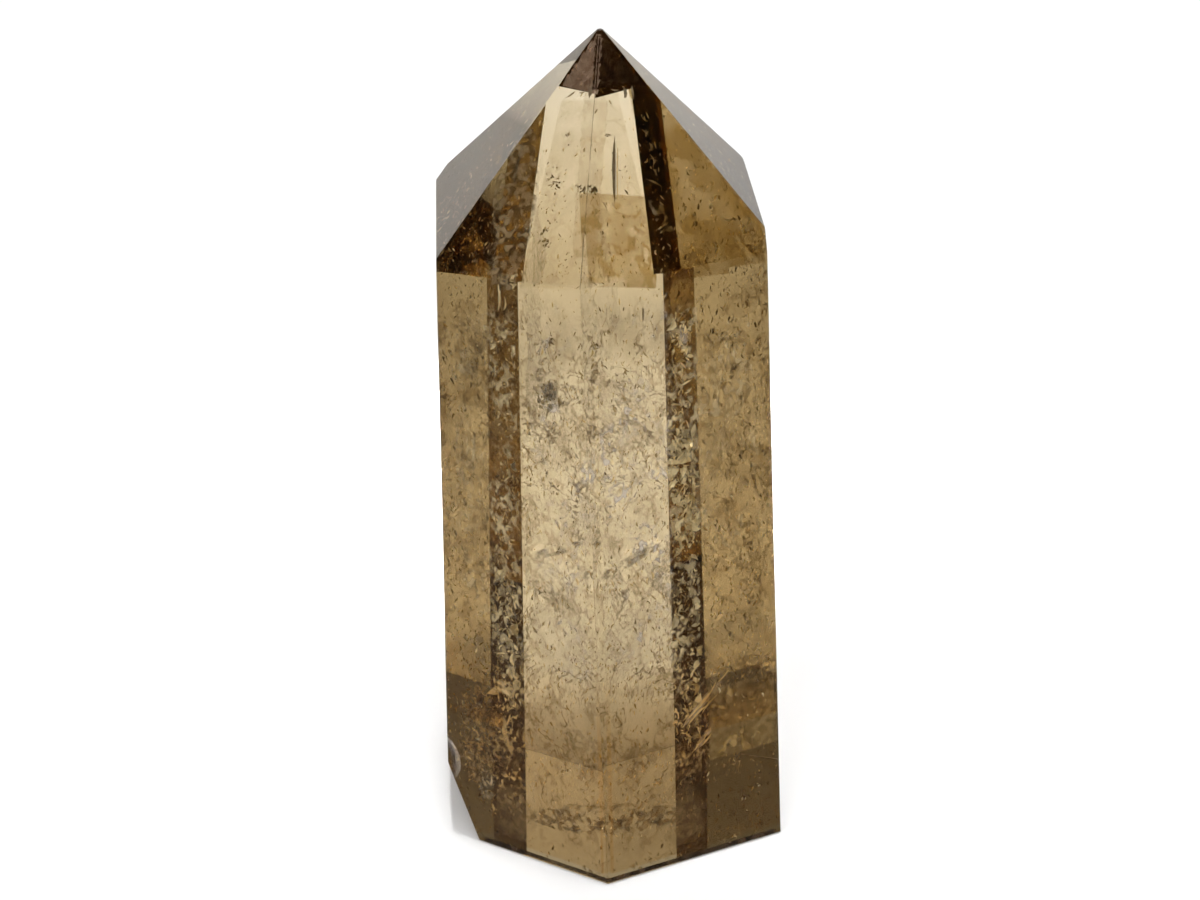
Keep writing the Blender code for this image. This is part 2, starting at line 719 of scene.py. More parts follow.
class Bend(Enum):
    """How a shard is curved: curl along it, sway across it and twist, each in radians."""

    STRAIGHT = (0.15, 0.0, 0.2)
    CURLED = (1.5, 0.3, 0.4)
    HOOKED = (2.2, -0.5, 0.9)
    SWAYED = (0.6, 1.3, -0.5)
    WAVED = (-1.1, -1.0, 1.1)
    TWISTED = (0.4, 0.5, 2.0)


@dataclass(frozen=True)
class Shard:
    """A curved sliver one unit long, with pointed ends."""

    bend: Bend
    width: float = 0.26
    thickness: float = 0.09
    rings: tuple[Pair, ...] = ((-0.27, 0.75), (0.02, 1.0), (0.28, 0.7))  # height and size of each
    curl_reach: float = 0.6
    curl_shrink: float = 0.8
    sway_reach: float = 0.5

    def _curve(self, x: float, y: float, z: float) -> Triple:
        """Bend one point of the straight sliver.

        Args:
            x: Its place across the sliver's width.
            y: Its place across the sliver's thickness.
            z: Its place along the sliver.

        Returns:
            Its place on the curved sliver.
        """
        curl, sway, twist = self.bend.value
        turn = twist * z
        x, y = x * math.cos(turn) - y * math.sin(turn), x * math.sin(turn) + y * math.cos(turn)
        angle = curl * z
        y, z = y + math.sin(angle) * z * self.curl_reach, z * math.cos(angle * self.curl_shrink)
        return x + sway * z * z * self.sway_reach, y, z

    def mesh(self) -> Mesh:
        """Build the sliver.

        Returns:
            A closed mesh of 16 faces.
        """
        sides = ((1, 0), (0, 1), (-1, 0), (0, -1))
        points = [self._curve(0, 0, -0.5)]
        for z, size in self.rings:
            wide, thick = self.width * size / 2, self.thickness * size / 2
            points += [self._curve(a * wide, b * thick, z) for a, b in sides]
        points.append(self._curve(0, 0, 0.5))
        last = len(points) - 1
        faces: list[tuple[int, ...]] = [(0, 1 + (k + 1) % 4, 1 + k) for k in range(4)]
        for ring in range(len(self.rings) - 1):
            base = 1 + 4 * ring
            for k in range(4):
                n = (k + 1) % 4
                faces.append((base + k, base + n, base + 4 + n, base + 4 + k))
        top = last - 4
        faces += [(top + k, top + (k + 1) % 4, last) for k in range(4)]
        made = bpy.data.meshes.new("shard")
        made.from_pydata(points, [], faces)
        return made


@dataclass
class Scatter:
    """Where a lot of shards go, and the numbers that shape and colour each one."""

    places: list[Vector] = field(default_factory=list)
    leans: list[Triple] = field(default_factory=list)
    numbers: dict[str, list[float]] = field(
        default_factory=lambda: {"size": [], "tone": [], "shine": [], "girth": []}
    )

    def add(
        self, place: Vector, size: float, lean: Triple, tone: float, shine: float, girth: float = 1.0
    ) -> None:
        """Add one shard.

        Args:
            place: Its middle.
            size: Its length.
            lean: Its turn as an Euler, in radians.
            tone: 0 for dark and 1 for pale.
            shine: 0 for matt and 1 for mirror-like.
            girth: Factor on its width and thickness.
        """
        self.places.append(place)
        self.leans.append(lean)
        for values, value in zip(self.numbers.values(), (size, tone, shine, girth)):
            values.append(value)

    def mesh(self) -> Mesh:
        """Lay out the places.

        Returns:
            Loose points that carry the numbers as attributes.
        """
        made = bpy.data.meshes.new("scatter")
        made.from_pydata([tuple(p) for p in self.places], [], [])
        for name, values in self.numbers.items():
            made.attributes.new(name, "FLOAT", "POINT").data.foreach_set("value", values)
        lean = made.attributes.new("lean", "FLOAT_VECTOR", "POINT")
        lean.data.foreach_set("vector", [c for triple in self.leans for c in triple])
        return made


class ShardTree:
    """Geometry Nodes tree that turns scattered points into shards."""

    def __init__(self, material: Material) -> None:
        """Build the tree and its stock of shards.

        Args:
            material: The shards' material.
        """
        self.stock = bpy.data.collections.new("shard_stock")
        for bend in Bend:
            shape = bpy.data.objects.new(f"shard_{bend.name.lower()}", Shard(bend).mesh())
            self.stock.objects.link(shape)
        self.tree = bpy.data.node_groups.new("place_shards", "GeometryNodeTree")
        face = self.tree.interface
        face.new_socket("Geometry", in_out="INPUT", socket_type="NodeSocketGeometry")
        length = face.new_socket("Length Factor", in_out="INPUT", socket_type="NodeSocketFloat")
        breadth = face.new_socket("Girth Factor", in_out="INPUT", socket_type="NodeSocketFloat")
        seed = face.new_socket("Seed", in_out="INPUT", socket_type="NodeSocketInt")
        length.default_value, breadth.default_value, seed.default_value = 1.0, 1.0, 1
        face.new_socket("Geometry", in_out="OUTPUT", socket_type="NodeSocketGeometry")
        self.length, self.girth, self.seed = length.identifier, breadth.identifier, seed.identifier
        self._wire(Graph(self.tree), material)

    def _wire(self, graph: Graph, material: Material) -> None:
        """Put the nodes in.

        Args:
            graph: The tree's graph.
            material: The shards' material.
        """
        given = graph.node("NodeGroupInput").outputs
        choice = {4: 0, 5: len(Bend) - 1, 8: given["Seed"]}  # lowest, highest and seed
        pick = graph.node("FunctionNodeRandomValue", {"data_type": "INT"}, choice)
        shapes = graph.node(
            "GeometryNodeCollectionInfo",
            {"transform_space": "ORIGINAL"},
            {"Collection": self.stock, "Separate Children": True, "Reset Children": True},
        )
        size = Signal(graph, self._named(graph, "size", "FLOAT"))
        long = size * Signal(graph, given["Length Factor"])
        girth = Signal(graph, self._named(graph, "girth", "FLOAT"))
        wide = size * girth * Signal(graph, given["Girth Factor"])
        scale = graph.node("ShaderNodeCombineXYZ", None, {0: wide, 1: wide, 2: long})
        lean = {0: self._named(graph, "lean", "FLOAT_VECTOR")}
        placed = graph.node(
            "GeometryNodeInstanceOnPoints",
            None,
            {
                "Points": given["Geometry"],
                "Instance": shapes.outputs[0],
                "Pick Instance": True,
                "Instance Index": pick.outputs[2],
                "Rotation": graph.node("FunctionNodeEulerToRotation", None, lean).outputs[0],
                "Scale": scale.outputs[0],
            },
        )
        real = graph.node("GeometryNodeRealizeInstances", None, {0: placed.outputs[0]})
        dress = {0: real.outputs[0], "Material": material}
        dressed = graph.node("GeometryNodeSetMaterial", None, dress)
        graph.node("NodeGroupOutput", None, {0: dressed.outputs[0]})

    def _named(self, graph: Graph, name: str, kind: str) -> NodeSocket:
        """Attribute of the scattered points."""
        made = graph.node("GeometryNodeInputNamedAttribute", {"data_type": kind}, {"Name": name})
        return made.outputs[0]

    def grow(self, name: str, scatter: Scatter, seed: int) -> Object:
        """Turn scattered points into one plain mesh of shards, at their own sizes.

        Args:
            name: The new piece's name.
            scatter: The points.
            seed: Seed for the choice of shape.

        Returns:
            The finished piece.
        """
        piece = link(name, scatter.mesh())
        grower = piece.modifiers.new("shards", "NODES")
        grower.node_group = self.tree
        grower[self.length], grower[self.girth], grower[self.seed] = 1.0, 1.0, seed
        settle(piece)
        return piece

    def clear_stock(self) -> None:
        """Remove the single shards, which aren't pieces."""
        for shape in list(self.stock.objects):
            bpy.data.objects.remove(shape, do_unlink=True)
        bpy.data.collections.remove(self.stock)


def lean_along(axis: Vector, roll: float) -> Triple:
    """Euler that turns a shard's length onto an axis and rolls it about that axis."""
    turn = axis.to_track_quat("Z", "Y").to_matrix() @ Matrix.Rotation(roll, 3, "Z")
    return tuple(turn.to_euler())


def draw_shine(rng: np.random.Generator, share: float) -> float:
    """Draw a shine: 1 for a share of the shards, and 0 for the rest."""
    return 1.0 if rng.random() < share else 0.0


@dataclass(frozen=True)
class Haze:
    """Crumbs of small cracks through the body of the stone."""

    count: int = 5200
    shiny: float = 0.12
    bottom: float = 3.0 * MM
    top: float = 76.0 * MM
    half_width: float = 17.5 * MM
    skin: float = 0.5 * MM
    mean_length: float = 0.36 * MM
    length_spread: float = 0.42
    length_limit: float = 0.9 * MM
    steepness: float = 0.45
    mean_tone: float = 0.5
    tone_spread: float = 0.3
    cloud_size: float = 5.0 * MM
    cloud_stretch: float = 0.7  # upright, so that a cloud is taller than it is wide
    cloud_grain: Grain = (0.9, 2.0, 4)
    cloud_mean: float = 0.45
    cloud_contrast: float = 1.1
    sparsest: float = 0.06
    crowding: tuple[Pair, ...] = (  # height in mm, and how crowded the crumbs are there
        (0.0, 0.35), (6.0, 0.7), (14.0, 0.9), (30.0, 1.0),
        (46.0, 0.95), (53.0, 0.6), (58.0, 0.3), (80.0, 0.12),
    )
    seed: int = 11

    def _density(self, place: Vector) -> float:
        """Work out how crowded the crumbs are.

        Args:
            place: A place in the stone.

        Returns:
            The chance that a crumb stays there, 0 to 1.
        """
        x, y, z = place
        where = Vector((x, y, z * self.cloud_stretch)) / self.cloud_size
        cloud = noise.fractal(where, *self.cloud_grain)
        share = min(1.0, max(self.sparsest, self.cloud_mean + self.cloud_contrast * cloud))
        heights, levels = zip(*self.crowding)
        return float(np.interp(z, [height * MM for height in heights], levels)) * share

    def scatter(self, stone: CutStone) -> Scatter:
        """Choose the crumbs.

        Args:
            stone: The stone that holds them.

        Returns:
            The crumbs' points.
        """
        rng = np.random.default_rng(self.seed)
        found = Scatter()
        while len(found.places) < self.count:
            x, y = rng.uniform(-self.half_width, self.half_width, 2)
            place = Vector((x, y, rng.uniform(self.bottom, self.top)))
            if rng.random() > self._density(place):
                continue
            if stone.depth_inside(place + stone.middle) < self.skin:
                continue
            length = self.mean_length * math.exp(rng.normal(0, self.length_spread))
            axis = Vector((*rng.normal(0, self.steepness, 2), 1.0)).normalized()
            tone = float(np.clip(rng.normal(self.mean_tone, self.tone_spread), 0, 1))
            shine = draw_shine(rng, self.shiny)
            lean = lean_along(axis, rng.uniform(0, FULL_TURN))
            found.add(place, min(length, self.length_limit), lean, tone, shine)
        return found


@dataclass(frozen=True)
class Sliver:
    """One long thin crack between two points, in millimetres."""

    start: Triple
    end: Triple
    width: float
    tone: float
    roll: float = 0.3  # radians

    def add_to(self, scatter: Scatter) -> None:
        """Add the crack to scattered shards.

        Args:
            scatter: The shards so far.
        """
        start, end = Vector(self.start) * MM, Vector(self.end) * MM
        axis = end - start
        girth = self.width * MM / (axis.length * Shard(Bend.STRAIGHT).width)
        lean = lean_along(axis.normalized(), self.roll)
        scatter.add((start + end) / 2, axis.length, lean, self.tone, 0.0, girth)


@dataclass(frozen=True)
class Knot:
    """A tight bunch of small cracks."""

    middle: Triple  # mm
    reach: Triple  # mm, half its size each way
    count: int
    length: float  # mm
    tone: float
    shine: float = 0.3
    girth: float = 1.4
    looseness: float = 0.5
    steepness: Triple = (0.7, 0.7, 1.0)
    length_spread: float = 0.35
    tone_spread: float = 0.15

    def add_to(self, scatter: Scatter, seed: int) -> None:
        """Add the bunch to scattered shards.

        Args:
            scatter: The shards so far.
            seed: Seed for the bunch.
        """
        rng = np.random.default_rng(seed)
        for _ in range(self.count):
            shift = np.clip(rng.normal(0, self.looseness, 3), -1, 1) * np.array(self.reach)
            place = (Vector(self.middle) + Vector(shift)) * MM
            axis = Vector(rng.normal(0, 1, 3) * self.steepness).normalized()
            length = self.length * MM * math.exp(rng.normal(0, self.length_spread))
            tone = float(np.clip(self.tone + rng.normal(0, self.tone_spread), 0, 1))
            shine = draw_shine(rng, self.shine)
            lean = lean_along(axis, rng.uniform(0, FULL_TURN))
            scatter.add(place, length, lean, tone, shine, self.girth)


@dataclass(frozen=True)
class Belt:
    """A crowded run of flakes from one point to another, in millimetres."""

    start: Triple
    end: Triple
    across: Triple  # half its breadth, and which way it lies
    count: int
    length: float
    tone: float = 0.9
    shine: float = 0.2
    girth: float = 1.5
    depth: float = 0.35
    steepness: Triple = (0.6, 0.5, 1.0)
    length_spread: float = 0.5
    length_limit: float = 1.6
    tone_spread: float = 0.35
    girth_spread: float = 0.3

    def add_to(self, scatter: Scatter, seed: int) -> None:
        """Add the run to scattered shards.

        Args:
            scatter: The shards so far.
            seed: Seed for the run.
        """
        rng = np.random.default_rng(seed)
        start, end, across = (Vector(v) for v in (self.start, self.end, self.across))
        for _ in range(self.count):
            place = start.lerp(end, rng.uniform()) + across * rng.uniform(-1, 1)
            place.y += rng.uniform(0, self.depth)
            axis = Vector(rng.normal(0, 1, 3) * self.steepness).normalized()
            length = self.length * MM * math.exp(rng.normal(0, self.length_spread))
            tone = float(np.clip(self.tone + rng.normal(0, self.tone_spread), 0, 1))
            shine = draw_shine(rng, self.shine)
            lean = lean_along(axis, rng.uniform(0, FULL_TURN))
            girth = self.girth * math.exp(rng.normal(0, self.girth_spread))
            scatter.add(place * MM, min(length, self.length_limit * MM), lean, tone, shine, girth)


@dataclass(frozen=True)
class Landmarks:
    """The larger cracks that can be picked out one by one."""

    slivers: tuple[Sliver, ...] = (
        Sliver((-8.75, -10.6, 57.1), (-8.65, -10.65, 60.0), 0.75, 0.95),
        Sliver((-8.2, -10.9, 57.4), (-8.1, -10.9, 58.9), 0.35, 0.85),
        Sliver((0.64, -9.5, 65.9), (0.76, -4.37, 71.3), 0.34, 0.1),
        Sliver((0.95, -9.1, 66.1), (1.05, -5.0, 70.5), 0.16, 0.9),
        Sliver((-7.7, -5.55, 66.05), (-6.43, -1.25, 69.1), 0.30, 0.0),
        Sliver((10.4, -6.8, 63.6), (11.4, -6.3, 63.1), 0.20, 0.1),
        Sliver((-1.5, -15.3, 55.9), (-1.2, -15.1, 55.2), 0.20, 0.1),
        Sliver((3.05, -12.9, 58.6), (3.1, -13.3, 56.9), 0.22, 0.1),
        Sliver((-0.45, -2.6, 76.0), (-0.95, -4.3, 74.6), 0.55, 0.05),
        Sliver((2.1, -2.6, 75.25), (2.2, -3.9, 74.05), 0.35, 0.05),
        Sliver((2.7, -2.6, 75.2), (2.9, -3.6, 74.2), 0.25, 0.1),
        Sliver((-3.2, -3.3, 74.25), (-2.15, -3.2, 74.9), 0.22, 0.1),
        Sliver((-2.0, -3.4, 74.8), (-1.2, -3.6, 74.9), 0.20, 0.1),
        Sliver((0.7, -3.3, 75.0), (1.6, -3.2, 74.9), 0.20, 0.15),
        Sliver((6.5, -12.0, 14.3), (9.5, -10.5, 17.4), 0.45, 1.0),
        Sliver((6.4, -12.0, 13.7), (8.7, -10.9, 16.0), 0.40, 1.0),
        Sliver((7.6, -11.4, 15.0), (9.9, -10.2, 18.0), 0.30, 1.0),
        Sliver((8.0, -11.3, 14.8), (9.8, -10.3, 16.8), 0.25, 1.0),
        Sliver((6.2, -12.0, 13.4), (7.4, -11.6, 15.6), 0.30, 0.9),
        Sliver((9.5, -10.4, 17.4), (11.2, -8.7, 19.0), 0.22, 1.0),
        Sliver((7.5, -11.6, 11.0), (9.3, -10.6, 13.2), 0.42, 1.0),
        Sliver((7.9, -11.3, 10.9), (9.5, -10.4, 12.6), 0.25, 1.0),
        Sliver((7.2, -11.6, 10.4), (8.4, -11.2, 12.4), 0.25, 0.9),
    )
    knots: tuple[Knot, ...] = (
        Knot((-4.5, -12.6, 49.9), (0.9, 0.5, 1.5), 46, 0.5, 0.15),
        Knot((-1.4, -15.1, 55.6), (0.45, 0.3, 0.4), 12, 0.4, 0.10),
        Knot((-4.0, -13.5, 55.6), (0.35, 0.3, 0.6), 10, 0.4, 0.10),
        Knot((-7.5, -11.4, 60.0), (0.35, 0.2, 0.3), 8, 0.5, 1.0, 0.5),
        Knot((6.7, -11.1, 54.8), (0.8, 0.4, 1.3), 40, 0.6, 0.95, 0.4),
        Knot((3.9, -13.5, 8.7), (0.45, 0.3, 0.35), 16, 0.4, 1.0, 0.5),
        Knot((-11.3, -9.0, 11.0), (1.8, 0.8, 4.0), 60, 0.5, 0.25, 0.1),
        Knot((-12.9, -7.9, 13.6), (0.9, 0.6, 1.4), 40, 0.6, 0.2, 0.2),
        Knot((-9.9, -9.9, 12.0), (0.6, 0.4, 0.5), 24, 0.5, 0.0, 0.1),
        Knot((-3.7, -6.7, 66.9), (0.9, 0.5, 1.1), 26, 0.4, 0.1),
        Knot((-1.4, -8.4, 67.2), (0.5, 0.4, 0.7), 12, 0.35, 0.1),
        Knot((-2.4, -3.8, 70.5), (0.25, 0.2, 0.2), 7, 0.35, 0.05),
        Knot((0.1, -4.3, 70.8), (0.2, 0.2, 0.2), 5, 0.3, 0.05),
        Knot((-4.6, -10.2, 63.1), (0.6, 0.5, 2.0), 26, 0.35, 0.1),
        Knot((11.3, -8.5, 50.4), (0.5, 0.3, 0.3), 14, 0.4, 0.05),
        Knot((10.4, -9.0, 53.4), (1.6, 0.4, 0.6), 20, 0.4, 0.7, 0.4),
    )
    belts: tuple[Belt, ...] = (
        Belt((6.5, -11.3, 57.0), (6.5, -11.3, 47.0), (0.9, 0.45, 0.0), 70, 0.65, 0.8),
        Belt((6.5, -11.3, 46.0), (6.8, -11.5, 32.0), (1.2, 0.6, 0.0), 160, 0.70, 0.9),
        Belt((6.4, -11.2, 44.0), (6.7, -11.4, 34.0), (1.1, 0.55, 0.0), 90, 1.00, 1.0),
        Belt((6.8, -11.5, 31.0), (6.9, -11.8, 12.0), (1.2, 0.6, 0.0), 150, 0.66, 0.85),
        Belt((-8.7, -10.6, 56.0), (-8.6, -10.7, 36.0), (0.9, -0.55, 0.0), 90, 0.50, 0.6),
        Belt((-8.8, -10.6, 36.0), (-9.2, -10.4, 12.0), (1.1, -0.7, 0.0), 210, 0.66, 0.85),
        Belt((-11.5, -8.9, 17.0), (-11.6, -8.8, 4.0), (1.6, -1.0, 0.0), 90, 0.55, 0.3, 0.1, 1.2),
        Belt((7.8, -11.2, 17.5), (14.5, -7.4, 16.5), (0.2, 0.1, 4.2), 110, 0.40, 0.6, 0.2, 1.0),
        Belt((-13.4, -7.6, 10.0), (-10.8, -9.4, 2.5), (0.8, -0.5, 0.0), 60, 0.50, 0.35, 0.25, 1.1),
        Belt((3.7, -2.4, 71.8), (5.4, -10.6, 61.0), (0.4, 0.15, 0.0), 44, 0.65, 0.5, 0.4, 0.6),
    )
    knot_seed: int = 400
    belt_seed: int = 500

    def scatter(self) -> Scatter:
        """Gather every landmark.

        Returns:
            The landmarks' shards.
        """
        found = Scatter()
        for sliver in self.slivers:
            sliver.add_to(found)
        for seed, knot in enumerate(self.knots, self.knot_seed):
            knot.add_to(found, seed)
        for seed, belt in enumerate(self.belts, self.belt_seed):
            belt.add_to(found, seed)
        return found


# ---- Veils ----


@dataclass(frozen=True)
class Veil:
    """One gently buckled sheet inside the stone: a healed fracture, apart from the sheets of painted
    shade and painted light.
    """

    middle: Triple  # mm
    facing: Pair  # azimuth and lift of its normal
    width: float  # mm, level
    height: float  # mm
    buckle: float = 1.2  # mm
    roll: float = 0.0  # degrees, about its normal
    strength: float = 1.0
    square: bool = False


def pane(
    middle: Triple,
    facing: Pair,
    width: float,
    height: float,
    strength: float = 1.0,
    roll: float = 0.0,
    buckle: float = 0.0,
) -> Veil:
    """Make a veil with straight borders, flat unless it is given a buckle.

    Args:
        middle: Its middle, in mm.
        facing: Azimuth and lift of its normal.
        width: Its level size in mm.
        height: Its other size in mm.
        strength: Factor on its cover.
        roll: Its turn about its normal.
        buckle: How far it swells out of its plane, in mm.

    Returns:
        The veil.
    """
    return Veil(middle, facing, width, height, buckle, roll, strength, True)


@dataclass(frozen=True)
class VeilSet:
    """Sheets that share a finish: healed fractures, apart from the sets of painted shade and painted
    light.
    """

    name: str
    finish: VeilFinish | StainFinish
    veils: tuple[Veil, ...]
    steps: int = 26
    thickness: float = 0.02 * MM
    skin: float = 0.35 * MM
    lowest: float = 2.6 * MM
    raggedness: float = 0.25
    rag_scale: float = 1.5
    swell_scale: float = 1.3
    swell_grain: Grain = (0.8, 2.0, 3)
    drift_steps: Pair = (7.3, 3.1)  # how far apart two veils' and two sets' swells are taken
    seed: int = 5

    def _sheet(self, bm: BMesh, veil: Veil, number: int, stone: CutStone) -> None:
        """Add one sheet, kept to the part of it that lies inside the stone.

        Args:
            bm: The sheets so far, with layers for core and strength.
            veil: The sheet.
            number: Its number in the set, which changes its buckles.
            stone: The stone that holds it.
        """
        normal = direction(*veil.facing)
        across = Vector((0, 0, 1)).cross(normal)
        across = across.normalized() if across.length > 1e-3 else Vector((1, 0, 0))
        across.rotate(Matrix.Rotation(math.radians(veil.roll), 3, normal))
        up = normal.cross(across)
        middle = Vector(veil.middle) * MM
        half_w, half_h = veil.width * MM / 2, veil.height * MM / 2
        drift = Vector((number * self.drift_steps[0], self.seed * self.drift_steps[1], 0))
        count = self.steps
        core, strength = bm.verts.layers.float["core"], bm.verts.layers.float["strength"]
        rows: list[list[BMVert | None]] = []
        for j in range(count + 1):
            row: list[BMVert | None] = []
            for i in range(count + 1):
                u, v = 2 * i / count - 1, 2 * j / count - 1
                where = Vector((u, v, 0)) * self.swell_scale + drift
                swell = noise.fractal(where, *self.swell_grain)
                point = middle + across * u * half_w + up * v * half_h
                point += normal * swell * veil.buckle * MM
                if veil.square:
                    way_in = 1.0 - max(abs(u), abs(v))
                else:
                    turn = math.atan2(v, u) * self.rag_scale
                    rag = 1.0 + self.raggedness * noise.noise(Vector((turn, number, 0.5)))
                    way_in = 1.0 - math.hypot(u, v) / rag
                outside = stone.depth_inside(point + stone.middle) < self.skin
                if way_in < 0 or outside or point.z < self.lowest:
                    row.append(None)
                    continue
                row.append(bm.verts.new(point))
                row[-1][core], row[-1][strength] = way_in, veil.strength
            rows.append(row)
        for low, high in zip(rows, rows[1:]):
            for i in range(count):
                corners = (low[i], low[i + 1], high[i + 1], high[i])
                if all(corners):
                    bm.faces.new(corners)

    def build(self, stone: CutStone) -> Object:
        """Make all the sheets as one piece of closed thin plates.

        Args:
            stone: The stone that holds them.

        Returns:
            The finished piece.
        """
        bm = bmesh.new()
        bm.verts.layers.float.new("core")
        bm.verts.layers.float.new("strength")
        for number, veil in enumerate(self.veils):
            self._sheet(bm, veil, number, stone)
        loose = [v for v in bm.verts if not v.link_faces]
        bmesh.ops.delete(bm, geom=loose, context="VERTS")
        piece = link(self.name, mesh_of(bm, self.name))
        plate = piece.modifiers.new("plate", "SOLIDIFY")
        plate.thickness = self.thickness
        plate.offset = 0.0
        mesh = settle(piece)
        mesh.materials.clear()
        mesh.materials.append(self.finish.material())
        return piece


def general_veils(seed: int = 23, count: int = 9) -> tuple[Veil, ...]:
    """Lay healed fractures across the whole stone at all sorts of leans.

    Args:
        seed: Seed for their places.
        count: How many there are.

    Returns:
        The veils, spread evenly up the stone.
    """
    lowest, span = 4.0, 54.0
    ranges = ((-6, 6), (-7, 7), (0, 360), (-35, 35), (20, 34), (16, 30), (1.5, 3.5))
    rng = np.random.default_rng(seed)
    found = []
    for number in range(count):
        height = lowest + span * (number + rng.uniform(0.1, 0.9)) / count
        across, back, azimuth, lift, *sizes = (float(rng.uniform(*each)) for each in ranges)
        found.append(Veil((across, back, height), (azimuth, lift), *sizes))
    return tuple(found)


def smoke(name: str, **changes: Any) -> VeilFinish:
    """Describe a veil without glint or gloss that doesn't thin out upwards.

    Args:
        name: The material's name.
        **changes: The other fields in which it differs from a plain veil.

    Returns:
        The finish.
    """
    return VeilFinish(name, glint=0.0, gloss_level=0.0, thin_heights=ABOVE_TIP, **changes)


